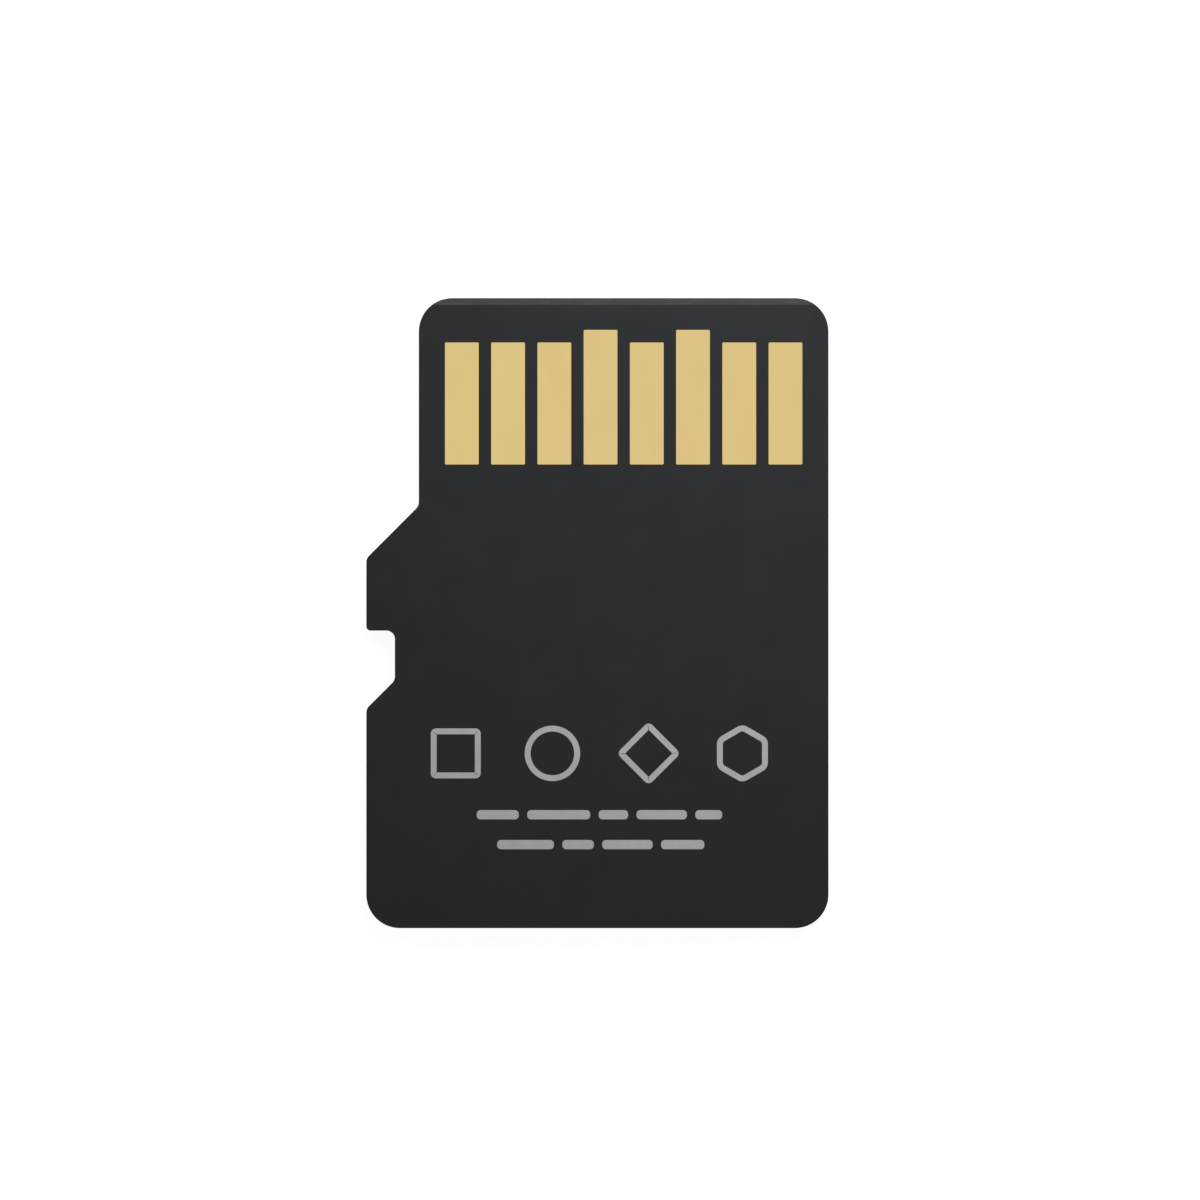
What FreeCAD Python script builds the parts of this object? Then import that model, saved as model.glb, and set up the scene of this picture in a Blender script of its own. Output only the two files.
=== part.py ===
"""Removable memory card, contact side up, nose towards +Y, notch towards -X.

The card is a thin circuit board with eight gold contacts, under which a black body is moulded around
the stacked chips and their bond wires. All lengths are in millimetres. The origin lies under the middle
of the card, level with the crest of the finger lip.
"""
import math
import os

import FreeCAD, Part

Vector = FreeCAD.Vector

# Contacts
CONTACT_COUNT = 8
CONTACT_PITCH = 1.1
CONTACT_WIDTH = 0.81
CONTACT_LENGTH = 2.91
CONTACT_SETBACK = 1.06
CONTACT_SIDE_MARGIN = 0.62
CONTACT_CORNER_RADIUS = 0.03
CONTACT_THICKNESS = 0.03
CONTACT_RECESS = 0.01
SUPPLY_CONTACTS = (4, 6)
SUPPLY_CONTACT_LEAD = 0.3

# Card outline, read down the notched side from the nose to the rear
NOSE_SIDE_LENGTH = 4.95
SHOULDER_WIDTH = 1.25
LAND_LENGTH = 1.72
NOTCH_FLOOR_LENGTH = 1.18
NOTCH_DEPTH = 0.68
TAIL_LENGTH = 5.22
CORNER_RADIUS = 0.8
SMALL_CORNER_RADIUS = 0.2
LATCH_CORNER_RADIUS = 0.1

# Thicknesses and edges
BOARD_THICKNESS = 0.2
BODY_THICKNESS = 0.5
BOARD_EDGE_BREAK = 0.03
LABEL_EDGE_RADIUS = 0.1
CONTACT_CHAMFER_RUN = 0.17
CONTACT_CHAMFER_DROP = 0.12
LABEL_CHAMFER_RUN = 0.3
LABEL_CHAMFER_DROP = 0.15

# Finger lip at the rear of the label side
LIP_HEIGHT = 0.3
LIP_SIDE_LENGTH = 1.5
LIP_SLOPE_RUN = 0.34
LIP_ARC_RADIUS = 30.0
LIP_CREST_RADIUS = 0.08

# Chips, films and capacitors inside the body
CONTROLLER_WIDTH = 2.8
CONTROLLER_LENGTH = 2.2
CONTROLLER_THICKNESS = 0.1
CONTROLLER_SETBACK = 1.3
FLASH_WIDTH = 6.6
FLASH_LENGTH = 7.4
FLASH_THICKNESS = 0.08
FLASH_LEDGE = 0.45
FILM_THICKNESS = 0.015
CHIP_GAP = 1.2
CAPACITOR_LENGTH = 0.6
CAPACITOR_WIDTH = 0.3
CAPACITOR_HEIGHT = 0.3
CAPACITOR_TERMINAL = 0.15
CAPACITOR_WRAP = 0.015
CAPACITOR_OFFSET = 3.3
CAPACITOR_SETBACK = 1.9
CAPACITOR_SPACING = 1.0

# Bond wires and the copper fingers they land on
WIRE_THICKNESS = 0.025
WIRE_LOOP_HEIGHT = 0.11
WIRE_PAD_INSET = 0.09
WIRE_ROW_MARGIN = 0.4
FLASH_WIRE_COUNT = 14
CONTROLLER_WIRE_COUNT = 6
LEDGE_LANDING = 0.15
FINGER_GAP = 0.35
FINGER_LENGTH = 0.3
FINGER_WIDTH = 0.12
FINGER_THICKNESS = 0.015
FINGER_END_MARGIN = 0.04

# Overall sizes and levels that follow from the values above
CONTACT_ROW = (CONTACT_COUNT - 1) * CONTACT_PITCH
NOSE_WIDTH = CONTACT_ROW + CONTACT_WIDTH + 2 * CONTACT_SIDE_MARGIN
CARD_WIDTH = NOSE_WIDTH + SHOULDER_WIDTH
NOTCH_START = NOSE_SIDE_LENGTH + SHOULDER_WIDTH + LAND_LENGTH
NOTCH_END = NOTCH_START + NOTCH_FLOOR_LENGTH + NOTCH_DEPTH
CARD_LENGTH = NOTCH_END + TAIL_LENGTH
RIGHT = CARD_WIDTH / 2
LEFT = -CARD_WIDTH / 2
NOSE = CARD_LENGTH / 2
REAR = -CARD_LENGTH / 2
NOSE_CENTRE = RIGHT - NOSE_WIDTH / 2
LABEL_LEVEL = LIP_HEIGHT
INNER_LEVEL = LABEL_LEVEL + BODY_THICKNESS
CONTACT_LEVEL = INNER_LEVEL + BOARD_THICKNESS
CONTROLLER_FRONT = NOSE - CONTROLLER_SETBACK
FLASH_FRONT = CONTROLLER_FRONT - CONTROLLER_LENGTH - CHIP_GAP
CONTROLLER_TOP = FILM_THICKNESS + CONTROLLER_THICKNESS
FLASH_STEP = FILM_THICKNESS + FLASH_THICKNESS


def rounded_face(corners, level):
    """Flat face at a level whose corners (x, y, radius) are rounded by tangent arcs."""
    points = [Vector(x, y, level) for x, y, radius in corners]
    arcs = []
    for index, (x, y, radius) in enumerate(corners):
        corner = points[index]
        back = (points[index - 1] - corner).normalize()
        ahead = (points[(index + 1) % len(points)] - corner).normalize()
        half_angle = back.getAngle(ahead) / 2
        reach = radius / math.tan(half_angle)
        depth = radius / math.sin(half_angle) - radius
        middle = corner + (back + ahead).normalize() * depth
        arcs.append(Part.Arc(corner + back * reach, middle, corner + ahead * reach).toShape())
    edges = []
    for index, arc in enumerate(arcs):
        edges.append(arc)
        end = arc.Vertexes[-1].Point
        start = arcs[(index + 1) % len(arcs)].Vertexes[0].Point
        edges.append(Part.makeLine(end, start))
    return Part.Face(Part.Wire(edges))


def card_plate(bottom, top):
    """The card outline as a plate between two levels."""
    nose_left = RIGHT - NOSE_WIDTH
    notch_floor = LEFT + NOTCH_DEPTH
    shoulder = NOSE - NOSE_SIDE_LENGTH
    corners = [
        (RIGHT, REAR, CORNER_RADIUS),
        (RIGHT, NOSE, CORNER_RADIUS),
        (nose_left, NOSE, CORNER_RADIUS),
        (nose_left, shoulder, SMALL_CORNER_RADIUS),
        (LEFT, shoulder - SHOULDER_WIDTH, SMALL_CORNER_RADIUS),
        (LEFT, NOSE - NOTCH_START, LATCH_CORNER_RADIUS),
        (notch_floor, NOSE - NOTCH_START, SMALL_CORNER_RADIUS),
        (notch_floor, NOSE - NOTCH_START - NOTCH_FLOOR_LENGTH, SMALL_CORNER_RADIUS),
        (LEFT, NOSE - NOTCH_END, SMALL_CORNER_RADIUS),
        (LEFT, REAR, CORNER_RADIUS),
    ]
    return rounded_face(corners, bottom).extrude(Vector(0, 0, top - bottom))


def edges_at(shape, level):
    """Edges of a shape that lie wholly at one level."""
    found = []
    for edge in shape.Edges:
        if abs(edge.BoundBox.ZMin - level) < 1e-6 and abs(edge.BoundBox.ZMax - level) < 1e-6:
            found.append(edge)
    return found


def arc_edges(shape, level, centre_y, radius):
    """Edges of a shape at one level whose ends lie on an arc about a centre on the middle line."""
    centre = Vector(0, centre_y, level)
    found = []
    for edge in edges_at(shape, level):
        if all(abs(vertex.Point.distanceToPoint(centre) - radius) < 1e-5 for vertex in edge.Vertexes):
            found.append(edge)
    return found


def prism_across(points):
    """Prism with the given (y, z) profile, wider than the card."""
    outline = [Vector(-CARD_WIDTH, y, z) for y, z in points]
    face = Part.Face(Part.makePolygon(outline + outline[:1]))
    return face.extrude(Vector(2 * CARD_WIDTH, 0, 0))


def nose_wedge(level, run, drop):
    """What a straight chamfer takes off the nose, starting a run behind its edge on the given level."""
    points = [
        (NOSE - 2 * run, level + drop),
        (NOSE + run, level - 2 * drop),
        (NOSE + run, level + drop),
    ]
    return prism_across(points)


def box_between(x_middle, width, y_front, length, base, height):
    """Box on the inner face of the board: its base stands off the face, its height grows away from it."""
    corner = Vector(x_middle - width / 2, y_front - length, INNER_LEVEL - base - height)
    return Part.makeBox(width, length, height, corner)


def contact_prism(number, bottom, top):
    """Outline of one contact as a prism; contact 1 is the one on the notched side."""
    x = NOSE_CENTRE - CONTACT_ROW / 2 + (number - 1) * CONTACT_PITCH
    front = NOSE - CONTACT_SETBACK
    rear = front - CONTACT_LENGTH
    if number in SUPPLY_CONTACTS:
        front += SUPPLY_CONTACT_LEAD
    half = CONTACT_WIDTH / 2
    corners = [
        (x + half, rear, CONTACT_CORNER_RADIUS),
        (x + half, front, CONTACT_CORNER_RADIUS),
        (x - half, front, CONTACT_CORNER_RADIUS),
        (x - half, rear, CONTACT_CORNER_RADIUS),
    ]
    return rounded_face(corners, bottom).extrude(Vector(0, 0, top - bottom))


def spread(count, length):
    """Positions of a row of bond pads along a die edge, about its middle."""
    span = length - 2 * WIRE_ROW_MARGIN
    return [span * (index / (count - 1) - 0.5) for index in range(count)]


def bond_wire(foot, heading, span, pad_height, landing_height):
    """A neck rises off the die pad and a straight run slopes down to the landing."""
    crest = pad_height + WIRE_LOOP_HEIGHT
    slope = (crest - landing_height) / span
    upright = WIRE_THICKNESS * math.sqrt(1 + slope ** 2)
    profile = [
        (0, pad_height),
        (0, crest),
        (span, landing_height),
        (span - upright / slope, landing_height),
        (WIRE_THICKNESS, crest - slope * WIRE_THICKNESS - upright),
        (WIRE_THICKNESS, pad_height),
    ]
    sideways = Vector(-heading.y, heading.x, 0) * WIRE_THICKNESS
    start = foot - sideways * 0.5
    outline = [start + heading * along - Vector(0, 0, height) for along, height in profile]
    return Part.Face(Part.makePolygon(outline + outline[:1])).extrude(sideways)


# Where each wire leaves its die, and how far it reaches
finger_reach = FINGER_GAP + FINGER_LENGTH
board_span = WIRE_PAD_INSET + finger_reach - FINGER_END_MARGIN
ledge_span = WIRE_PAD_INSET + FLASH_LEDGE - LEDGE_LANDING
flash_columns = [NOSE_CENTRE + offset for offset in spread(FLASH_WIRE_COUNT, FLASH_WIDTH)]
controller_middle = CONTROLLER_FRONT - CONTROLLER_LENGTH / 2
controller_rows = [controller_middle + offset for offset in spread(CONTROLLER_WIRE_COUNT, CONTROLLER_LENGTH)]
controller_right = NOSE_CENTRE + CONTROLLER_WIDTH / 2
controller_left = NOSE_CENTRE - CONTROLLER_WIDTH / 2
forward = Vector(0, 1, 0)
rightward = Vector(1, 0, 0)
leftward = Vector(-1, 0, 0)

# Board with its bond fingers, contact windows and leading chamfer
board = card_plate(INNER_LEVEL, CONTACT_LEVEL)
board = board.makeChamfer(BOARD_EDGE_BREAK, edges_at(board, CONTACT_LEVEL))
board = board.cut(nose_wedge(CONTACT_LEVEL, CONTACT_CHAMFER_RUN, CONTACT_CHAMFER_DROP))
contact_floor = CONTACT_LEVEL - CONTACT_RECESS - CONTACT_THICKNESS
windows = []
contacts = {}
for number in range(1, CONTACT_COUNT + 1):
    windows.append(contact_prism(number, contact_floor, CONTACT_LEVEL + CONTACT_THICKNESS))
    contacts[f"contact_{number}"] = contact_prism(number, contact_floor, CONTACT_LEVEL - CONTACT_RECESS)
fingers = []
finger_middle = finger_reach - FINGER_LENGTH / 2
for x in flash_columns:
    front = FLASH_FRONT + finger_reach
    fingers.append(box_between(x, FINGER_WIDTH, front, FINGER_LENGTH, 0, FINGER_THICKNESS))
for y in controller_rows:
    front = y + FINGER_WIDTH / 2
    for x in (controller_left - finger_middle, controller_right + finger_middle):
        fingers.append(box_between(x, FINGER_LENGTH, front, FINGER_WIDTH, 0, FINGER_THICKNESS))
board = board.cut(windows).fuse(fingers).removeSplitter()

# Controller and the two memory dies, each on its film
flash_upper_front = FLASH_FRONT - FLASH_LEDGE
inside = {}


def add_chip(film_name, die_name, plan, base, thickness):
    """A die on its attach film; the plan holds middle, width, front and length."""
    inside[film_name] = box_between(*plan, base, FILM_THICKNESS)
    inside[die_name] = box_between(*plan, base + FILM_THICKNESS, thickness)


controller_plan = (NOSE_CENTRE, CONTROLLER_WIDTH, CONTROLLER_FRONT, CONTROLLER_LENGTH)
lower_plan = (NOSE_CENTRE, FLASH_WIDTH, FLASH_FRONT, FLASH_LENGTH)
upper_plan = (NOSE_CENTRE, FLASH_WIDTH, flash_upper_front, FLASH_LENGTH)
add_chip("controller_film", "controller_die", controller_plan, 0, CONTROLLER_THICKNESS)
add_chip("flash_film_lower", "flash_die_lower", lower_plan, 0, FLASH_THICKNESS)
add_chip("flash_film_upper", "flash_die_upper", upper_plan, FLASH_STEP, FLASH_THICKNESS)

# Capacitors, two on each side of the controller: ceramic between two plated ends that stand on the board
capacitor_number = 0
for x in (NOSE_CENTRE - CAPACITOR_OFFSET, NOSE_CENTRE + CAPACITOR_OFFSET):
    for row in range(2):
        capacitor_number += 1
        front = NOSE - CAPACITOR_SETBACK - row * CAPACITOR_SPACING + CAPACITOR_WIDTH / 2
        ceramic = box_between(
            x, CAPACITOR_LENGTH - CAPACITOR_TERMINAL, front - CAPACITOR_WRAP,
            CAPACITOR_WIDTH - 2 * CAPACITOR_WRAP, CAPACITOR_WRAP, CAPACITOR_HEIGHT - 2 * CAPACITOR_WRAP)
        ends = []
        for side in (-1, 1):
            end_x = x + side * (CAPACITOR_LENGTH - CAPACITOR_TERMINAL) / 2
            ends.append(box_between(end_x, CAPACITOR_TERMINAL, front, CAPACITOR_WIDTH, 0, CAPACITOR_HEIGHT))
        inside[f"capacitor_{capacitor_number}"] = ceramic.fuse(ends).removeSplitter()

# Bond wires
lower_wires = []
upper_wires = []
for x in flash_columns:
    lower_foot = Vector(x, FLASH_FRONT - WIRE_PAD_INSET, INNER_LEVEL)
    upper_foot = Vector(x, flash_upper_front - WIRE_PAD_INSET, INNER_LEVEL)
    lower_wires.append(bond_wire(lower_foot, forward, board_span, FLASH_STEP, FINGER_THICKNESS))
    upper_wires.append(bond_wire(upper_foot, forward, ledge_span, 2 * FLASH_STEP, FLASH_STEP))
left_wires = []
right_wires = []
for y in controller_rows:
    left_foot = Vector(controller_left + WIRE_PAD_INSET, y, INNER_LEVEL)
    right_foot = Vector(controller_right - WIRE_PAD_INSET, y, INNER_LEVEL)
    left_wires.append(bond_wire(left_foot, leftward, board_span, CONTROLLER_TOP, FINGER_THICKNESS))
    right_wires.append(bond_wire(right_foot, rightward, board_span, CONTROLLER_TOP, FINGER_THICKNESS))
wires = {
    "flash_wires_lower": lower_wires,
    "flash_wires_upper": upper_wires,
    "controller_wires_left": left_wires,
    "controller_wires_right": right_wires,
}

# Body: a plate with softened label edges, and the lip left standing behind a wide conical scoop
label_plate = card_plate(LABEL_LEVEL, INNER_LEVEL)
label_plate = label_plate.makeFillet(LABEL_EDGE_RADIUS, edges_at(label_plate, LABEL_LEVEL))
lip_plate = card_plate(0, INNER_LEVEL)
lip_plate = lip_plate.makeFillet(LABEL_EDGE_RADIUS, edges_at(lip_plate, 0))
arc_sag = LIP_ARC_RADIUS - math.sqrt(LIP_ARC_RADIUS ** 2 - RIGHT ** 2)
scoop_centre = REAR + LIP_SIDE_LENGTH - arc_sag + LIP_ARC_RADIUS
foot_radius = LIP_ARC_RADIUS - LIP_SLOPE_RUN
scoop = Part.makeCone(LIP_ARC_RADIUS, foot_radius, LIP_HEIGHT, Vector(0, scoop_centre, 0))
clearance = Part.makeCylinder(foot_radius, BODY_THICKNESS, Vector(0, scoop_centre, LABEL_LEVEL))
lip = lip_plate.cut([scoop, clearance])
body = label_plate.fuse(lip).removeSplitter()
body = body.makeFillet(LIP_CREST_RADIUS, arc_edges(body, 0, scoop_centre, LIP_ARC_RADIUS))
body = body.cut(nose_wedge(LABEL_LEVEL, LABEL_CHAMFER_RUN, -LABEL_CHAMFER_DROP))
loose_wires = [wire for group in wires.values() for wire in group]
body = body.cut([board] + list(inside.values()) + loose_wires)

nodes = {"board": board, "mould_body": body}
nodes.update(contacts)
nodes.update(inside)
nodes.update({name: Part.makeCompound(group) for name, group in wires.items()})

os.makedirs("parts", exist_ok=True)
for name, shape in nodes.items():
    solids = shape.Solids
    piece = solids[0] if len(solids) == 1 else Part.makeCompound(solids)
    piece.exportStep(f"parts/{name}.step")
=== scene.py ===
"""Small removable memory card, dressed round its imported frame.

The card lies contact side up with its nose towards +Y. The board, the moulded body and the contacts are
modelled again with finer edges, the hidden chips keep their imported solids, and a stage is built like a
product table under a softbox. Settings are in metres. The modelling itself works in millimetres, because
the modelling tools weld what lies closer than about a micron, and each finished piece is shrunk to metres.
"""
import math
from types import SimpleNamespace

import bmesh
import bpy
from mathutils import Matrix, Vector


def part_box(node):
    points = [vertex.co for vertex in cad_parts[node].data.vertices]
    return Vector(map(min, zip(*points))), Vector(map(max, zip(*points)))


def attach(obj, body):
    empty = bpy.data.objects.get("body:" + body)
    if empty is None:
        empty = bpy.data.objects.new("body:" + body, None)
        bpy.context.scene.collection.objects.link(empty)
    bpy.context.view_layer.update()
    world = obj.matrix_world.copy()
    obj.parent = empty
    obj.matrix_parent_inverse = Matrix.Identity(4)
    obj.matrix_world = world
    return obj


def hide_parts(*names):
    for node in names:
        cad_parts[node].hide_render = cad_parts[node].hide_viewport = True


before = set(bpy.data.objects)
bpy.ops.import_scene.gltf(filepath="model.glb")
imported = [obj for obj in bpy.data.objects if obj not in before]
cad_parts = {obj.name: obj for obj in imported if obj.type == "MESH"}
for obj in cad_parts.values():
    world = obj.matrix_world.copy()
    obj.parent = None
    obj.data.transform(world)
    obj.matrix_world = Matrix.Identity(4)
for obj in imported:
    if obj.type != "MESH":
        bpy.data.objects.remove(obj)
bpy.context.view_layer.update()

bl_info = {
    "name": "Memory card",
    "version": (1, 0, 0),
    "blender": (4, 5, 0),
    "location": "View3D > Sidebar > Card",
    "description": "Models a small memory card with gold contacts round its packed frame",
    "category": "Mesh",
}

BODY = "root"
MM = 0.001
MICRON = 0.000001
RIGHT_ANGLE = math.radians(90)
HALF_RIGHT = math.radians(45)
SMOOTH_ANGLE = math.radians(40)
FLAT_ANGLE = math.radians(1)
LEVEL_ANGLE = math.radians(0.01)

# Tolerances and margins in the working unit
WELD = 0.00002
NEAR = 0.001
CLEAR = 0.1

CONTACT_NODES = [f"contact_{number}" for number in range(1, 9)]
SILICON_NODES = ["controller_die", "flash_die_lower", "flash_die_upper"]
FILM_NODES = ["controller_film", "flash_film_lower", "flash_film_upper"]
CAPACITOR_NODES = [f"capacitor_{number}" for number in range(1, 5)]
WIRE_NODES = ["controller_wires_left", "controller_wires_right", "flash_wires_lower", "flash_wires_upper"]
INNER_NODES = SILICON_NODES + FILM_NODES + CAPACITOR_NODES + WIRE_NODES


def box(node):
    """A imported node's lowest and highest corners in the working unit."""
    low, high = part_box(node)
    return low / MM, high / MM


LEFT, REAR = box("board")[0].xy
RIGHT, NOSE, TOP = box("board")[1]
INNER = box("mould_body")[1].z


def length(name, description, default):
    """A length property."""
    return bpy.props.FloatProperty(
        name=name, description=description, default=default, unit="LENGTH", precision=6, min=0.0)


def colour(name, description, default):
    """A colour property, in linear light."""
    return bpy.props.FloatVectorProperty(
        name=name, description=description, default=default, subtype="COLOR", size=3, min=0.0, max=1.0)


class CardSizes(bpy.types.PropertyGroup):
    """Sizes of the card's outline and edges"""
    nose_side: length("Nose side", "Straight side of the nose down to the shoulder", 4.95 * MM)
    shoulder: length("Shoulder", "How much wider the card is behind the shoulder", 1.25 * MM)
    land: length("Land", "Straight side between shoulder and notch", 1.72 * MM)
    notch_floor: length("Notch floor", "Length of the notch's floor", 1.18 * MM)
    notch_depth: length("Notch depth", "Depth of the notch", 0.68 * MM)
    corner: length("Corner radius", "Radius of the four main corners", 0.8 * MM)
    small_corner: length("Small radius", "Radius at the shoulder and the notch", 0.2 * MM)
    latch_corner: length("Latch corner", "Radius of the notch's outer corner", 0.1 * MM)
    edge_break: length("Edge break", "Softened edge of the contact face", 0.03 * MM)
    chamfer_run: length("Chamfer run", "Leading chamfer, along the contact face", 0.17 * MM)
    chamfer_drop: length("Chamfer drop", "Leading chamfer, down the nose", 0.12 * MM)
    window_rim: length("Window rim", "Softened edge of the contact windows", 0.008 * MM)
    pad_corner: length("Contact corner", "Corner radius of a contact in plan", 0.03 * MM)
    pad_rim: length("Contact rim", "Softened upper edge of a contact", 0.005 * MM)
    label_level: length("Label face", "Height of the label face above the lip's crest", 0.3 * MM)
    label_edge: length("Label edge", "Radius along the label face", 0.1 * MM)
    label_run: length("Label chamfer run", "Label side chamfer, along the face", 0.3 * MM)
    label_drop: length("Label chamfer drop", "Label side chamfer, up the nose", 0.15 * MM)
    lip_side: length("Lip length", "Length of the lip's crest at the sides", 1.5 * MM)
    lip_slope: length("Lip slope", "Run of the slope in front of the lip", 0.34 * MM)
    lip_arc: length("Lip arc", "Radius of the lip's front edge in plan", 30.0 * MM)
    lip_crest: length("Lip crest", "Rounded front edge of the lip", 0.12 * MM)
    lip_foot: length("Lip foot", "Rounded foot of the lip's slope", 0.06 * MM)
    ink: length("Ink", "Thickness of the printed ink", 0.003 * MM)


class CardColours(bpy.types.PropertyGroup):
    """Colours of the card's finishes"""
    resist: colour("Resist", "Black solder resist", (0.0150, 0.0157, 0.0168))
    resist_light: colour("Resist, thin", "Resist where it lies thinner", (0.0172, 0.0179, 0.0190))
    # The milled-edge colours below are lighter than the laminate's own tone: they paint in the highlight of
    # the lit nose chamfer.
    laminate_and_highlight: colour("Laminate", "Milled edge of the board", (0.0280, 0.0280, 0.0290))
    fibre_and_highlight: colour("Fibre", "Glass fibre in the milled edge", (0.045, 0.045, 0.045))
    epoxy: colour("Epoxy", "Moulded body", (0.0130, 0.0132, 0.0140))
    filler: colour("Filler", "Pale filler grains in the epoxy", (0.030, 0.030, 0.031))
    gold: colour("Gold", "Contact plating", (0.729, 0.555, 0.234))
    gold_deep: colour("Gold, deep", "Contact plating where it lies thinner", (0.710, 0.536, 0.220))
    ink: colour("Ink", "Printed marks", (0.36, 0.36, 0.36))
    silicon: colour("Silicon", "Face of the dies", (0.085, 0.090, 0.110))
    film: colour("Film", "Die-attach film", (0.52, 0.47, 0.34))
    ceramic: colour("Ceramic", "Capacitor body", (0.26, 0.15, 0.08))


def sizes():
    """The size settings of the scene in the working unit."""
    settings = bpy.context.scene.card_sizes
    return SimpleNamespace(**{key: getattr(settings, key) / MM for key in CardSizes.__annotations__})


def colours():
    """The colour settings of the scene."""
    return bpy.context.scene.card_colours


def deselect():
    """Leave every object unselected, in object mode."""
    if bpy.context.object and bpy.context.object.mode != "OBJECT":
        bpy.ops.object.mode_set(mode="OBJECT")
    bpy.ops.object.select_all(action="DESELECT")


def activate(piece):
    """Make a piece the only selected and active object."""
    deselect()
    piece.select_set(True)
    bpy.context.view_layer.objects.active = piece


def edit(piece):
    """Open a piece in edit mode with nothing selected."""
    activate(piece)
    bpy.ops.object.mode_set(mode="EDIT")
    bpy.ops.mesh.select_all(action="DESELECT")


def pick(kind, test):
    """Select only the vertices, edges or faces of the open mesh that pass a test; return how many."""
    bpy.ops.mesh.select_mode(type=kind)
    bpy.ops.mesh.select_all(action="DESELECT")
    mesh = bpy.context.object.data
    shape = bmesh.from_edit_mesh(mesh)
    elements = {"VERT": shape.verts, "EDGE": shape.edges, "FACE": shape.faces}[kind]
    chosen = [element for element in elements if test(element)]
    for element in chosen:
        element.select_set(True)
    shape.select_flush_mode()
    bmesh.update_edit_mesh(mesh)
    return len(chosen)


def need(found, what):
    """Stop where a modelling step finds nothing to work on."""
    if not found:
        raise RuntimeError(f"nothing found to make the {what}")


def close_piece(piece, name):
    """Weld, turn the faces outwards, shrink to metres, smooth by angle and name a finished piece."""
    edit(piece)
    bpy.ops.mesh.select_all(action="SELECT")
    bpy.ops.mesh.remove_doubles(threshold=WELD)
    bpy.ops.mesh.normals_make_consistent(inside=False)
    activate(piece)
    piece.scale = (MM, MM, MM)
    bpy.ops.object.transform_apply(location=True, rotation=True, scale=True)
    bpy.ops.object.shade_smooth_by_angle(angle=SMOOTH_ANGLE)
    bpy.ops.object.modifier_add(type="WEIGHTED_NORMAL")
    piece.modifiers[-1].keep_sharp = True
    bpy.ops.object.modifier_apply(modifier=piece.modifiers[-1].name)
    piece.name = name
    piece.data.name = name


def carve(piece, tool, operation):
    """Cut a tool out of a piece, or fuse it on, and remove the tool."""
    activate(piece)
    bpy.ops.object.modifier_add(type="BOOLEAN")
    modifier = piece.modifiers[-1]
    modifier.operation = operation
    modifier.solver = "EXACT"
    modifier.object = tool
    bpy.ops.object.modifier_apply(modifier=modifier.name)
    activate(tool)
    bpy.ops.object.delete()


def add_plane(centre, width, depth):
    """A flat rectangle of the given size."""
    deselect()
    bpy.ops.mesh.primitive_plane_add(size=1.0, location=centre)
    plane = bpy.context.object
    plane.scale = (width, depth, 1.0)
    bpy.ops.object.transform_apply(location=True, rotation=True, scale=True)
    return plane


def add_block(low, high):
    """A block between two corners."""
    deselect()
    bpy.ops.mesh.primitive_cube_add(size=1.0, location=(low + high) / 2)
    block = bpy.context.object
    block.scale = high - low
    bpy.ops.object.transform_apply(location=True, rotation=True, scale=True)
    return block


def cut_faces(test, point, normal):
    """Cut the faces whose middle passes a test along a plane."""
    need(pick("FACE", lambda face: test(face.calc_center_median())), "cut")
    bpy.ops.mesh.bisect(plane_co=point, plane_no=normal, threshold=WELD)


def drop_faces(test):
    """Delete the faces whose middle passes a test."""
    need(pick("FACE", lambda face: test(face.calc_center_median())), "cut-out")
    bpy.ops.mesh.delete(type="FACE")


def round_corners(points, radius, turn, segments):
    """Round the outline's corners that turn by the given angle."""
    reach = radius * math.tan(turn / 2)
    found = pick("VERT", lambda vert: any((vert.co.xy - Vector(point)).length < NEAR for point in points))
    if found != len(points):
        raise RuntimeError("the outline has lost a corner")
    bpy.ops.mesh.bevel(affect="VERTICES", offset=reach, segments=segments, profile=0.5, clamp_overlap=False)


def outline_plate(top, bottom):
    """The card's outline as a plate between two levels: a rectangle with shoulder and notch cut away."""
    s = sizes()
    nose_left = LEFT + s.shoulder
    floor = LEFT + s.notch_depth
    shoulder_top = NOSE - s.nose_side
    notch_top = shoulder_top - s.shoulder - s.land
    floor_end = notch_top - s.notch_floor
    plate = add_plane(((LEFT + RIGHT) / 2, (REAR + NOSE) / 2, top), RIGHT - LEFT, NOSE - REAR)
    edit(plate)
    slope = (1, -1, 0)
    cut_faces(lambda c: True, (nose_left, 0, top), (1, 0, 0))
    cut_faces(lambda c: c.x < nose_left, (nose_left, shoulder_top, top), slope)
    drop_faces(lambda c: c.x < nose_left and c.x - c.y < nose_left - shoulder_top)
    cut_faces(lambda c: c.x < nose_left, (floor, 0, top), (1, 0, 0))
    cut_faces(lambda c: c.x < floor, (0, notch_top, top), (0, 1, 0))
    cut_faces(lambda c: c.x < floor and c.y < notch_top, (floor, floor_end, top), slope)
    drop_faces(lambda c: c.x < floor and c.y < notch_top and c.x - c.y < floor - floor_end)
    bpy.ops.mesh.select_all(action="SELECT")
    bpy.ops.mesh.dissolve_limited(angle_limit=FLAT_ANGLE)
    corners = [(RIGHT, REAR), (RIGHT, NOSE), (nose_left, NOSE), (LEFT, REAR)]
    round_corners(corners, s.corner, RIGHT_ANGLE, segments=16)
    round_corners([(LEFT, notch_top)], s.latch_corner, RIGHT_ANGLE, segments=6)
    round_corners([(floor, notch_top)], s.small_corner, RIGHT_ANGLE, segments=8)
    gentle = [(nose_left, shoulder_top), (LEFT, shoulder_top - s.shoulder), (floor, floor_end)]
    gentle.append((LEFT, floor_end - s.notch_depth))
    round_corners(gentle, s.small_corner, HALF_RIGHT, segments=5)
    bpy.ops.mesh.select_all(action="SELECT")
    bpy.ops.mesh.extrude_region_move(TRANSFORM_OT_translate={"value": (0, 0, bottom - top)})
    bpy.ops.mesh.select_all(action="SELECT")
    bpy.ops.mesh.normals_make_consistent(inside=False)
    return plate


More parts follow.
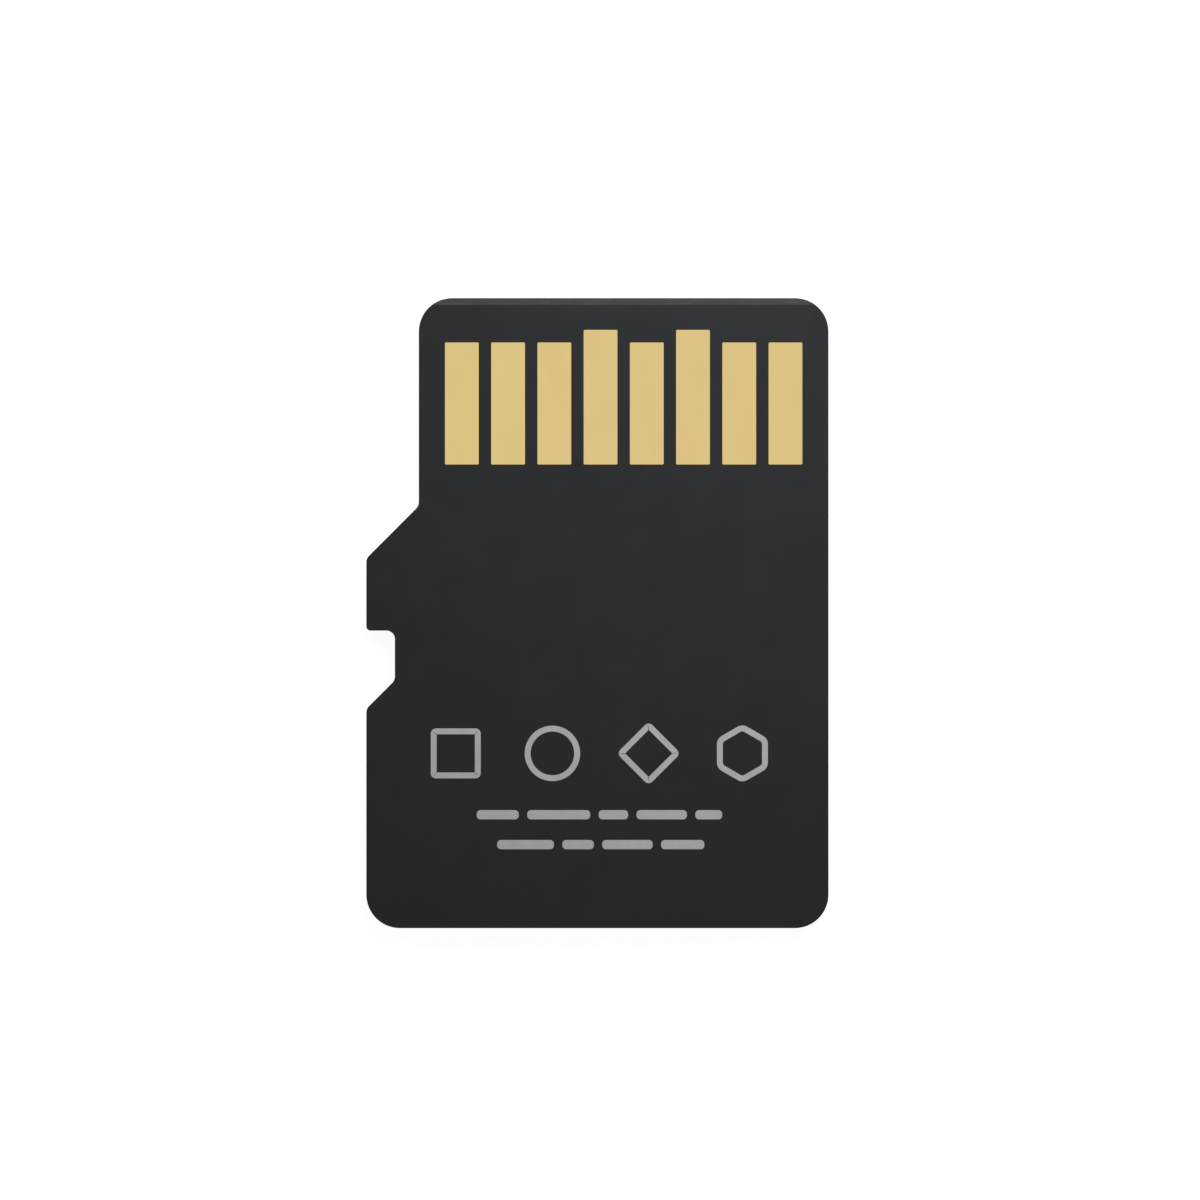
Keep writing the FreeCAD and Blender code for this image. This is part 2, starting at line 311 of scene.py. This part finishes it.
def level_edge(edge, level):
    """Whether an edge lies at one level."""
    return all(abs(vert.co.z - level) < NEAR for vert in edge.verts)


def rim_edge(edge, level):
    """Whether an edge lies at one level with an upright or sloping face beside it."""
    level_tilt = 0.99
    return level_edge(edge, level) and any(abs(face.normal.z) < level_tilt for face in edge.link_faces)


def upright_edge(edge):
    """Whether an edge runs from one level to another."""
    return abs(edge.verts[0].co.z - edge.verts[1].co.z) > NEAR


def chamfer_nose(point, normal):
    """Plane a straight chamfer off the nose of the open plate."""
    bpy.ops.mesh.select_all(action="SELECT")
    bpy.ops.mesh.bisect(plane_co=point, plane_no=normal, use_fill=True, clear_outer=True, threshold=WELD)


def crease(normal):
    """Keep the edges round the faces that point a given way crisp."""
    way = Vector(normal).normalized()
    same_way = 0.9999

    def border(edge):
        return sum(face.normal.dot(way) > same_way for face in edge.link_faces) == 1

    need(pick("EDGE", border), "crease")
    bpy.ops.mesh.mark_sharp()


def copy_node(name):
    """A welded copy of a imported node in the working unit, to cut or fuse with."""
    activate(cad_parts[name])
    bpy.ops.object.duplicate()
    tool = bpy.context.object
    tool.parent = None
    tool.scale = (1 / MM, 1 / MM, 1 / MM)
    bpy.ops.object.transform_apply(location=True, rotation=True, scale=True)
    edit(tool)
    bpy.ops.mesh.select_all(action="SELECT")
    bpy.ops.mesh.remove_doubles(threshold=WELD)
    bpy.ops.mesh.normals_make_consistent(inside=False)
    deselect()
    return tool


def bond_fingers():
    """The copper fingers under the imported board, as blocks that reach a little into the board."""
    overlap = 0.02
    level = box("board")[0].z
    tool = copy_node("board")
    edit(tool)
    need(pick("FACE", lambda face: face.calc_center_median().z > level + NEAR), "bond fingers")
    bpy.ops.mesh.delete(type="FACE")
    bpy.ops.mesh.select_all(action="SELECT")
    bpy.ops.mesh.dissolve_limited(angle_limit=FLAT_ANGLE)
    bpy.ops.mesh.select_all(action="SELECT")
    bpy.ops.mesh.extrude_region_move(TRANSFORM_OT_translate={"value": (0, 0, INNER - level + overlap)})
    bpy.ops.mesh.select_all(action="SELECT")
    bpy.ops.mesh.normals_make_consistent(inside=False)
    deselect()
    return tool


# Materials


def new_node(tree, kind, place, **settings):
    """A shader node at a place; settings name its attributes."""
    node = tree.nodes.new(kind)
    node.location = place
    for key, value in settings.items():
        setattr(node, key, value)
    return node


def math_node(tree, operation, place, first, second):
    """A math node whose inputs are sockets or plain numbers."""
    node = new_node(tree, "ShaderNodeMath", place, operation=operation)
    for socket, value in zip(node.inputs, (first, second)):
        if isinstance(value, bpy.types.NodeSocket):
            tree.links.new(value, socket)
        else:
            socket.default_value = value
    return node.outputs[0]


def range_node(tree, place, value, low, high):
    """Spread a value from 0 to 1 between two limits."""
    node = new_node(tree, "ShaderNodeMapRange", place)
    tree.links.new(value, node.inputs["Value"])
    node.inputs["To Min"].default_value = low
    node.inputs["To Max"].default_value = high
    return node.outputs["Result"]


def blend_node(tree, place, factor, first, second):
    """Blend between two colours, or from a colour socket to a colour."""
    node = new_node(tree, "ShaderNodeMix", place, data_type="RGBA")
    tree.links.new(factor, node.inputs[0])
    for socket, value in zip((node.inputs[6], node.inputs[7]), (first, second)):
        if isinstance(value, bpy.types.NodeSocket):
            tree.links.new(value, socket)
        else:
            socket.default_value = (*value, 1.0)
    return node.outputs[2]


def new_group(name, inputs, outputs):
    """An empty shader node group with named number sockets, led by coordinates."""
    group = bpy.data.node_groups.new(name, "ShaderNodeTree")
    group.interface.new_socket("Coordinates", in_out="INPUT", socket_type="NodeSocketVector")
    for label in inputs:
        group.interface.new_socket(label, in_out="INPUT", socket_type="NodeSocketFloat")
    for label in outputs:
        group.interface.new_socket(label, in_out="OUTPUT", socket_type="NodeSocketFloat")
    start = new_node(group, "NodeGroupInput", (-700, 0))
    end = new_node(group, "NodeGroupOutput", (500, 0))
    return group, start, end


def grain_group():
    """Fine grain for bump and roughness, with broad uneven patches for tone."""
    if "fine_grain" in bpy.data.node_groups:
        return bpy.data.node_groups["fine_grain"]
    group, start, end = new_group("fine_grain", ["Grain Size", "Patch Size"], ["Height", "Patches"])
    for row, (size, label) in enumerate((("Grain Size", "Height"), ("Patch Size", "Patches"))):
        scale = math_node(group, "DIVIDE", (-450, -250 * row), 1.0, start.outputs[size])
        noise = new_node(group, "ShaderNodeTexNoise", (-200, -250 * row))
        noise.inputs["Detail"].default_value = 3.0
        noise.inputs["Roughness"].default_value = 0.55
        group.links.new(start.outputs["Coordinates"], noise.inputs["Vector"])
        group.links.new(scale, noise.inputs["Scale"])
        group.links.new(noise.outputs["Fac"], end.inputs[label])
    return group


def speck_group():
    """Small round specks scattered over a surface."""
    if "specks" in bpy.data.node_groups:
        return bpy.data.node_groups["specks"]
    group, start, end = new_group("specks", ["Spacing", "Share"], ["Mask"])
    scale = math_node(group, "DIVIDE", (-450, 0), 1.0, start.outputs["Spacing"])
    cells = new_node(group, "ShaderNodeTexVoronoi", (-200, 0))
    group.links.new(start.outputs["Coordinates"], cells.inputs["Vector"])
    group.links.new(scale, cells.inputs["Scale"])
    split = new_node(group, "ShaderNodeSeparateColor", (0, -150))
    group.links.new(cells.outputs["Color"], split.inputs["Color"])
    rare = math_node(group, "LESS_THAN", (150, -150), split.outputs[0], start.outputs["Share"])
    speck_radius = 0.28
    near = math_node(group, "LESS_THAN", (150, 50), cells.outputs["Distance"], speck_radius)
    group.links.new(math_node(group, "MULTIPLY", (320, 0), rare, near), end.inputs["Mask"])
    return group


class Finish:
    """A material under construction: one Principled shader fed from object coordinates."""

    def __init__(self, name, roughness, metallic=0.0, specular=0.5):
        self.material = bpy.data.materials.new(name)
        self.material.use_nodes = True
        self.tree = self.material.node_tree
        self.shader = self.tree.nodes["Principled BSDF"]
        self.shader.inputs["Roughness"].default_value = roughness
        self.shader.inputs["Metallic"].default_value = metallic
        self.shader.inputs["Specular IOR Level"].default_value = specular
        self.coordinates = new_node(self.tree, "ShaderNodeTexCoord", (-1300, 0)).outputs["Object"]

    def stretched(self, scale):
        """Object coordinates stretched along the axes."""
        mapping = new_node(self.tree, "ShaderNodeMapping", (-1100, -300))
        mapping.inputs["Scale"].default_value = scale
        self.tree.links.new(self.coordinates, mapping.inputs["Vector"])
        return mapping.outputs["Vector"]

    def group(self, group, place, coordinates, **values):
        """Place a shared group with its own values."""
        node = new_node(self.tree, "ShaderNodeGroup", place, node_tree=group)
        self.tree.links.new(coordinates, node.inputs["Coordinates"])
        for label, value in values.items():
            node.inputs[label.replace("_", " ")].default_value = value
        return node.outputs

    def grain(self, grain_size, patch_size, coordinates=None):
        """Place the shared grain."""
        values = {"Grain_Size": grain_size, "Patch_Size": patch_size}
        return self.group(grain_group(), (-850, 0), coordinates or self.coordinates, **values)

    def specks(self, spacing, share):
        """Place the shared specks and return their mask."""
        values = {"Spacing": spacing, "Share": share}
        return self.group(speck_group(), (-850, 300), self.coordinates, **values)["Mask"]

    def paint(self, tone):
        """Feed the base colour."""
        self.tree.links.new(tone, self.shader.inputs["Base Color"])

    def soften(self, value, low, high):
        """Let the roughness follow a value."""
        spread = range_node(self.tree, (-350, -150), value, low, high)
        self.tree.links.new(spread, self.shader.inputs["Roughness"])

    def emboss(self, height, strength, distance):
        """Raise the surface a little by a height."""
        bump = new_node(self.tree, "ShaderNodeBump", (-350, -400))
        bump.inputs["Strength"].default_value = strength
        bump.inputs["Distance"].default_value = distance
        self.tree.links.new(height, bump.inputs["Height"])
        self.tree.links.new(bump.outputs["Normal"], self.shader.inputs["Normal"])


def resist_finish():
    """Black solder resist: satin, with a fine orange peel and a faint uneven tone."""
    c = colours()
    finish = Finish("solder_resist", roughness=0.5, specular=0.08)
    grain = finish.grain(grain_size=35 * MICRON, patch_size=1.1 * MM)
    patches = range_node(finish.tree, (-600, 200), grain["Patches"], low=-0.6, high=1.6)
    finish.paint(blend_node(finish.tree, (-300, 200), patches, c.resist, c.resist_light))
    finish.soften(grain["Height"], low=0.46, high=0.56)
    finish.emboss(grain["Height"], strength=0.12, distance=4 * MICRON)
    return finish.material


def laminate_and_highlight_finish():
    """Milled laminate: charcoal resin with glass fibres that run along the cut, its tones set lighter than
    its own to paint in the highlight of the lit nose chamfer.
    """
    c = colours()
    finish = Finish("laminate_edge_and_highlight", roughness=0.6, specular=0.2)
    along_cut = finish.stretched((0.12, 0.12, 1.0))
    fibres = finish.grain(grain_size=25 * MICRON, patch_size=60 * MICRON, coordinates=along_cut)
    strands = range_node(finish.tree, (-600, 200), fibres["Patches"], low=-1.2, high=1.3)
    # Both tones are partly the laminate's own colour and partly a painted highlight on the nose chamfer.
    finish.paint(blend_node(finish.tree, (-300, 200), strands, c.laminate_and_highlight, c.fibre_and_highlight))
    finish.soften(fibres["Height"], low=0.55, high=0.68)
    finish.emboss(fibres["Height"], strength=0.25, distance=4 * MICRON)
    return finish.material


def epoxy_finish():
    """Moulded epoxy: matt black with fine pale filler grains."""
    c = colours()
    finish = Finish("moulded_epoxy", roughness=0.6, specular=0.25)
    grain = finish.grain(grain_size=45 * MICRON, patch_size=1.4 * MM)
    specks = finish.specks(spacing=45 * MICRON, share=0.08)
    finish.paint(blend_node(finish.tree, (-300, 200), specks, c.epoxy, c.filler))
    finish.soften(grain["Height"], low=0.52, high=0.68)
    finish.emboss(grain["Height"], strength=0.35, distance=8 * MICRON)
    return finish.material


def gold_finish(name, roughness):
    """Satin gold plating: faint nodular grain and wiping marks along the card."""
    c = colours()
    finish = Finish(name, roughness, metallic=1.0)
    along_card = finish.stretched((1.0, 0.3, 1.0))
    grain = finish.grain(grain_size=18 * MICRON, patch_size=0.5 * MM, coordinates=along_card)
    tone = range_node(finish.tree, (-600, 200), grain["Patches"], low=-0.5, high=1.5)
    finish.paint(blend_node(finish.tree, (-300, 200), tone, c.gold_deep, c.gold))
    finish.soften(grain["Height"], low=roughness - 0.05, high=roughness + 0.07)
    finish.emboss(grain["Height"], strength=0.05, distance=2 * MICRON)
    return finish.material


def ink_finish():
    """Grey printing ink: matt, a little darker in patches where the screen left it thin."""
    c = colours()
    finish = Finish("printing_ink", roughness=0.6, specular=0.2)
    grain = finish.grain(grain_size=30 * MICRON, patch_size=0.3 * MM)
    thin = [0.86 * value for value in c.ink]
    tone = range_node(finish.tree, (-600, 200), grain["Patches"], low=-0.4, high=1.4)
    finish.paint(blend_node(finish.tree, (-300, 200), tone, thin, c.ink))
    finish.emboss(grain["Height"], strength=0.15, distance=3 * MICRON)
    return finish.material


def hidden_finish(name, tone, grain_size, roughness, metallic=0.0):
    """A finish for what the body hides: one tone with an uneven grain."""
    finish = Finish(name, roughness, metallic=metallic)
    grain = finish.grain(grain_size, patch_size=20 * grain_size)
    dark = [0.8 * value for value in tone]
    finish.paint(blend_node(finish.tree, (-300, 200), grain["Patches"], dark, tone))
    finish.emboss(grain["Height"], strength=0.1, distance=2 * MICRON)
    return finish.material


def wear(piece, *materials):
    """Give a piece its materials in place of any that it has."""
    piece.data.materials.clear()
    for material in materials:
        piece.data.materials.append(material)


def seat(piece, node=None):
    """Hand a finished piece to the frame."""
    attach(piece, BODY)
    if node:
        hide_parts(node)


# Operators


class CARD_OT_board(bpy.types.Operator):
    """Model the board with its chamfered nose and the windows for the contacts"""
    bl_idname = "card.board"
    bl_label = "Board"

    def execute(self, context):
        s = sizes()
        board = outline_plate(TOP, INNER)
        need(pick("EDGE", lambda edge: rim_edge(edge, TOP)), "edge break")
        bpy.ops.mesh.bevel(affect="EDGES", offset=s.edge_break, segments=3, clamp_overlap=False)
        chamfer_nose((0, NOSE - s.chamfer_run, TOP), (0, s.chamfer_drop, s.chamfer_run))
        windows = []
        for node in CONTACT_NODES:
            low, high = box(node)
            window = add_block(low, Vector((high.x, high.y, TOP + CLEAR)))
            edit(window)
            need(pick("EDGE", upright_edge), "contact corners")
            bpy.ops.mesh.bevel(affect="EDGES", offset=s.pad_corner, segments=4)
            windows.append(window)
        deselect()
        for window in windows:
            window.select_set(True)
        context.view_layer.objects.active = windows[0]
        bpy.ops.object.join()
        carve(board, windows[0], "DIFFERENCE")
        edit(board)
        pad_level = box(CONTACT_NODES[0])[1].z
        need(pick("EDGE", self.is_window_rim), "window rims")
        bpy.ops.mesh.bevel(affect="EDGES", offset=min(s.window_rim, TOP - pad_level), segments=3)
        carve(board, bond_fingers(), "UNION")
        wear(board, resist_finish(), laminate_and_highlight_finish())
        edit(board)
        # The milled faces, the nose chamfer among them, take the edge finish whose lighter colour paints in
        # the chamfer's highlight.
        need(pick("FACE", self.is_milled), "milled edge")
        board.active_material_index = 1
        bpy.ops.object.material_slot_assign()
        close_piece(board, "board_panel")
        seat(board, "board")
        return {"FINISHED"}

    def is_inland(self, point):
        """Whether a point lies well inside the outline, where the windows and the fingers are."""
        side_margin = 0.3
        nose_margin = 0.5
        rear_margin = 1.0
        across = LEFT + sizes().shoulder + side_margin < point.x < RIGHT - side_margin
        return across and REAR + rear_margin < point.y < NOSE - nose_margin

    def is_window_rim(self, edge):
        """Whether an edge is the upper edge of a contact window."""
        upright = 0.1
        walls = [face for face in edge.link_faces if abs(face.normal.z) < upright]
        middle = (edge.verts[0].co + edge.verts[1].co) / 2
        return level_edge(edge, TOP) and self.is_inland(middle) and len(walls) == 1

    def is_milled(self, face):
        """Whether a face is part of the cut outline: the side walls and the leading chamfer."""
        upright = 0.2
        forward = 0.3
        slack = 0.95
        middle = face.calc_center_median()
        on_chamfer = middle.y > NOSE - sizes().chamfer_run * slack and face.normal.y > forward
        return on_chamfer or (abs(face.normal.z) < upright and not self.is_inland(middle))


class CARD_OT_body(bpy.types.Operator):
    """Model the moulded body with its finger lip, hollow where the chips are cast in"""
    bl_idname = "card.body"
    bl_label = "Moulded body"

    def execute(self, context):
        s = sizes()
        body = outline_plate(INNER, 0.0)
        carve(body, self.scoop(), "DIFFERENCE")
        edit(body)
        bpy.ops.mesh.select_all(action="SELECT")
        bpy.ops.mesh.dissolve_limited(angle_limit=LEVEL_ANGLE)
        need(pick("EDGE", self.is_rim), "label edge")
        bpy.ops.mesh.bevel(affect="EDGES", offset=s.label_edge, segments=4, clamp_overlap=False)
        bpy.ops.mesh.select_all(action="SELECT")
        bpy.ops.mesh.remove_doubles(threshold=WELD)
        carve(body, bond_fingers(), "DIFFERENCE")
        for node in INNER_NODES:
            carve(body, copy_node(node), "DIFFERENCE")
        edit(body)
        slant = (0, s.label_drop, -s.label_run)
        chamfer_nose((0, NOSE - s.label_run, s.label_level), slant)
        crease(slant)
        wear(body, epoxy_finish())
        close_piece(body, "moulded_shell")
        seat(body, "mould_body")
        return {"FINISHED"}

    def is_rim(self, edge):
        """Whether an edge runs between a side wall and the lip, its slope or the label face."""
        downward = -0.3
        upright = 0.01
        tilts = sorted(face.normal.z for face in edge.link_faces)
        return len(tilts) == 2 and tilts[0] < downward and abs(tilts[1]) < upright

    def scoop(self):
        """The turned tool that leaves the lip standing: a wide cone with an eased crest and foot."""
        s = sizes()
        sides = 600
        steps = 4
        skirt = 0.02
        half = (RIGHT - LEFT) / 2
        sag = s.lip_arc - math.sqrt(s.lip_arc ** 2 - half ** 2)
        centre = REAR + s.lip_side - sag + s.lip_arc
        turn = math.atan2(s.label_level, s.lip_slope)
        reach = math.tan(turn / 2)
        angles = [turn * step / steps for step in range(steps + 1)]
        crest = [(s.lip_arc + s.lip_crest * (reach - math.sin(angle)), s.lip_crest * (1 - math.cos(angle)))
                 for angle in angles]
        foot_arc = s.lip_arc - s.lip_slope
        foot = [(foot_arc - s.lip_foot * (reach - math.sin(angle)),
                 s.label_level - s.lip_foot * (1 - math.cos(angle))) for angle in reversed(angles)]
        run = (crest[0][0] - crest[1][0]) / crest[1][1]
        start = (crest[0][0] + run * skirt, -skirt)
        rings = crest[1:] + foot
        deselect()
        bpy.ops.mesh.primitive_circle_add(
            vertices=sides, radius=start[0], fill_type="NGON", location=(0, centre, start[1]))
        tool = bpy.context.object
        bpy.ops.object.transform_apply(location=True, rotation=True, scale=True)
        edit(tool)
        bpy.ops.mesh.select_all(action="SELECT")
        radius, level = start
        for next_radius, next_level in rings:
            rise = (0, 0, next_level - level)
            bpy.ops.mesh.extrude_region_move(TRANSFORM_OT_translate={"value": rise})
            grow = next_radius / radius
            bpy.ops.transform.resize(value=(grow, grow, 1.0), center_override=(0, centre, next_level))
            radius, level = next_radius, next_level
        bpy.ops.mesh.select_all(action="SELECT")
        bpy.ops.mesh.normals_make_consistent(inside=False)
        deselect()
        return tool


class CARD_OT_contacts(bpy.types.Operator):
    """Model one contact of each length and copy it along the nose"""
    bl_idname = "card.contacts"
    bl_label = "Contacts"

    def execute(self, context):
        gold = gold_finish("contact_plating", roughness=0.17)
        patterns = {}
        pads = []
        for number, node in enumerate(CONTACT_NODES, start=1):
            low, high = box(node)
            kind = round(high.y - low.y, 3)
            if kind not in patterns:
                pad = self.pattern(low, high)
                wear(pad, gold)
                close_piece(pad, f"contact_pad_{number}")
                patterns[kind] = (pad, low)
            else:
                pattern, first_low = patterns[kind]
                activate(pattern)
                bpy.ops.object.duplicate()
                pad = context.object
                pad.location = (low - first_low) * MM
                bpy.ops.object.transform_apply(location=True, rotation=True, scale=True)
                pad.name = f"contact_pad_{number}"
            pads.append((pad, node))
        for pad, node in pads:
            seat(pad, node)
        return {"FINISHED"}

    def pattern(self, low, high):
        """One contact: a thin plate with rounded corners and a soft upper rim."""
        s = sizes()
        pad = add_block(low, high)
        edit(pad)
        need(pick("EDGE", upright_edge), "contact corners")
        bpy.ops.mesh.bevel(affect="EDGES", offset=s.pad_corner, segments=4)
        need(pick("EDGE", lambda edge: rim_edge(edge, high.z)), "contact rim")
        bpy.ops.mesh.bevel(affect="EDGES", offset=s.pad_rim, segments=3)
        return pad


class CARD_OT_print(bpy.types.Operator):
    """Print plain grey marks on the contact face: four simple shapes over two rows of bars"""
    bl_idname = "card.print"
    bl_label = "Print"

    def execute(self, context):
        ink = ink_finish()
        level = -3.34
        marks = [
            self.ring("print_square", (-3.37, level), radius=0.84, sides=4, turn=HALF_RIGHT),
            self.ring("print_ring", (-1.07, level), radius=0.66, sides=48),
            self.ring("print_diamond", (1.22, level), radius=0.76, sides=4),
            self.ring("print_hexagon", (3.45, level), radius=0.70, sides=6),
            self.bars("print_bars_1", (0.05, -4.80), (1.0, 1.5, 0.7, 1.2, 0.64)),
            self.bars("print_bars_2", (0.08, -5.51), (1.35, 0.75, 1.2, 1.03)),
        ]
        for mark in marks:
            wear(mark, ink)
            close_piece(mark, mark.name)
            seat(mark)
        return {"FINISHED"}

    def raise_ink(self, mark, name):
        """Give a flat mark the ink's thickness."""
        edit(mark)
        bpy.ops.mesh.select_all(action="SELECT")
        bpy.ops.mesh.extrude_region_move(TRANSFORM_OT_translate={"value": (0, 0, sizes().ink)})
        deselect()
        mark.name = name
        return mark

    def ring(self, name, centre, radius, sides, turn=0.0):
        """A round ring, or one with a few rounded corners."""
        stroke = 0.14
        corner = 0.12
        most_corners = 12
        deselect()
        bpy.ops.mesh.primitive_circle_add(
            vertices=sides, radius=radius, fill_type="NGON", location=(*centre, TOP), rotation=(0, 0, turn))
        mark = bpy.context.object
        bpy.ops.object.transform_apply(location=True, rotation=True, scale=True)
        edit(mark)
        if sides < most_corners:
            pick("VERT", lambda vert: True)
            bpy.ops.mesh.bevel(affect="VERTICES", offset=corner, segments=4)
        pick("FACE", lambda face: True)
        bpy.ops.mesh.inset(thickness=stroke)
        bpy.ops.mesh.delete(type="FACE")
        return self.raise_ink(mark, name)

    def bars(self, name, centre, lengths):
        """A row of short round-ended bars."""
        gap = 0.2
        height = 0.22
        corner = 0.09
        left = centre[0] - (sum(lengths) + gap * (len(lengths) - 1)) / 2
        pieces = []
        for long in lengths:
            bar = add_plane((left + long / 2, centre[1], TOP), long, height)
            edit(bar)
            pick("VERT", lambda vert: True)
            bpy.ops.mesh.bevel(affect="VERTICES", offset=corner, segments=6)
            pieces.append(bar)
            left += long + gap
        deselect()
        for bar in pieces:
            bar.select_set(True)
        bpy.context.view_layer.objects.active = pieces[0]
        bpy.ops.object.join()
        return self.raise_ink(pieces[0], name)


class CARD_OT_inside(bpy.types.Operator):
    """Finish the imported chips, films, capacitors and wires inside the body"""
    bl_idname = "card.inside"
    bl_label = "Inside"

    def execute(self, context):
        c = colours()
        silicon = hidden_finish("silicon_die", c.silicon, 30 * MICRON, roughness=0.2, metallic=0.6)
        film = hidden_finish("die_film", c.film, 20 * MICRON, roughness=0.6)
        ceramic = hidden_finish("capacitor_ceramic", c.ceramic, 15 * MICRON, roughness=0.45)
        wire = gold_finish("bond_gold", roughness=0.3)
        groups = (
            (SILICON_NODES, silicon),
            (FILM_NODES, film),
            (CAPACITOR_NODES, ceramic),
            (WIRE_NODES, wire),
        )
        for names, material in groups:
            for name in names:
                wear(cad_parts[name], material)
        return {"FINISHED"}


class CARD_OT_stage(bpy.types.Operator):
    """Set up the table, the softbox, the surrounding light and the camera over the card"""
    bl_idname = "card.stage"
    bl_label = "Stage"

    def execute(self, context):
        table_side = 1.2
        air_gap = 10 * MICRON
        table = add_plane((0, 0, -air_gap), table_side, table_side)
        table.name = "table"
        wear(table, self.table_material())
        self.surround(context.scene)
        lamp_place = (6.1 * MM, 13.0 * MM, 18.2 * MM)
        self.softbox("key_softbox", lamp_place, size=24.0 * MM, power=0.0079)
        self.camera(context.scene)
        context.scene.view_settings.view_transform = "Standard"
        return {"FINISHED"}

    def seen_directly(self, tree):
        """1 for rays that the camera, a gloss or a clear material sends, else 0."""
        path = new_node(tree, "ShaderNodeLightPath", (-900, 200))
        direct = math_node(
            tree, "MAXIMUM", (-650, 200), path.outputs["Is Camera Ray"], path.outputs["Is Glossy Ray"])
        return math_node(tree, "MAXIMUM", (-450, 200), direct, path.outputs["Is Transmission Ray"])

    def table_material(self):
        """White table that stays white to the eye and still takes the card's shadow."""
        material = bpy.data.materials.new("white_table")
        material.use_nodes = True
        tree = material.node_tree
        tree.nodes.clear()
        matt = new_node(tree, "ShaderNodeBsdfDiffuse", (-300, 100))
        matt.inputs["Color"].default_value = (0.8, 0.8, 0.8, 1.0)
        thin = new_node(tree, "ShaderNodeBsdfDiffuse", (-300, -100))
        thin.inputs["Color"].default_value = (0.26, 0.26, 0.26, 1.0)
        glow = new_node(tree, "ShaderNodeEmission", (-300, -250))
        glow.inputs["Strength"].default_value = 0.92
        lit = new_node(tree, "ShaderNodeAddShader", (-100, -150))
        tree.links.new(thin.outputs[0], lit.inputs[0])
        tree.links.new(glow.outputs[0], lit.inputs[1])
        mix = new_node(tree, "ShaderNodeMixShader", (100, 0))
        tree.links.new(self.seen_directly(tree), mix.inputs[0])
        tree.links.new(matt.outputs[0], mix.inputs[1])
        tree.links.new(lit.outputs[0], mix.inputs[2])
        out = new_node(tree, "ShaderNodeOutputMaterial", (300, 0))
        tree.links.new(mix.outputs[0], out.inputs["Surface"])
        return material

    def surround(self, scene):
        """Even surrounding light, white where it is seen directly."""
        world = bpy.data.worlds.new("studio")
        world.use_nodes = True
        tree = world.node_tree
        tree.nodes.clear()
        fill = new_node(tree, "ShaderNodeBackground", (-200, 100))
        fill.inputs["Strength"].default_value = 0.3
        white = new_node(tree, "ShaderNodeBackground", (-200, -50))
        white.inputs["Strength"].default_value = 1.0
        for background in (fill, white):
            background.inputs["Color"].default_value = (1.0, 1.0, 1.0, 1.0)
        mix = new_node(tree, "ShaderNodeMixShader", (50, 0))
        tree.links.new(self.seen_directly(tree), mix.inputs[0])
        tree.links.new(fill.outputs[0], mix.inputs[1])
        tree.links.new(white.outputs[0], mix.inputs[2])
        out = new_node(tree, "ShaderNodeOutputWorld", (250, 0))
        tree.links.new(mix.outputs[0], out.inputs["Surface"])
        scene.world = world

    def softbox(self, name, place, size, power):
        """A square softbox that faces the card."""
        deselect()
        bpy.ops.object.light_add(type="AREA", location=place)
        lamp = bpy.context.object
        lamp.name = name
        lamp.data.shape = "SQUARE"
        lamp.data.size = size
        lamp.data.energy = power
        lamp.visible_camera = False
        lamp.visible_glossy = False
        aim = -Vector(place)
        lamp.rotation_euler = aim.to_track_quat("-Z", "Y").to_euler()

    def camera(self, scene):
        """A long lens straight above the card, framed as in the photograph."""
        view_width = 28.55 * MM
        view_x = 0.062 * MM
        view_y = 0.309 * MM
        lens = 150.0
        sensor = 36.0
        distance = view_width * lens / sensor
        deselect()
        bpy.ops.object.camera_add(location=(view_x, view_y, TOP * MM + distance), rotation=(0, 0, 0))
        camera = bpy.context.object
        camera.data.lens = lens
        camera.data.sensor_width = sensor
        camera.data.clip_start = 0.001
        camera.data.clip_end = 10.0
        scene.camera = camera


class CARD_PT_panel(bpy.types.Panel):
    """Steps and settings of the card"""
    bl_idname = "CARD_PT_panel"
    bl_label = "Memory card"
    bl_space_type = "VIEW_3D"
    bl_region_type = "UI"
    bl_category = "Card"

    def draw(self, context):
        layout = self.layout
        for operator in OPERATORS:
            layout.operator(operator.bl_idname)
        for settings in (context.scene.card_sizes, context.scene.card_colours):
            column = layout.column(align=True)
            for key in settings.__annotations__:
                column.prop(settings, key)


OPERATORS = (CARD_OT_body, CARD_OT_board, CARD_OT_contacts, CARD_OT_print, CARD_OT_inside, CARD_OT_stage)
CLASSES = (CardSizes, CardColours, *OPERATORS, CARD_PT_panel)


def register():
    for item in CLASSES:
        bpy.utils.register_class(item)
    bpy.types.Scene.card_sizes = bpy.props.PointerProperty(type=CardSizes)
    bpy.types.Scene.card_colours = bpy.props.PointerProperty(type=CardColours)


def unregister():
    del bpy.types.Scene.card_colours
    del bpy.types.Scene.card_sizes
    for item in reversed(CLASSES):
        bpy.utils.unregister_class(item)


def main():
    """Build the card and its stage."""
    register()
    bpy.ops.card.body()
    bpy.ops.card.board()
    bpy.ops.card.contacts()
    bpy.ops.card.print()
    bpy.ops.card.inside()
    bpy.ops.card.stage()


if __name__ == "__main__":
    main()
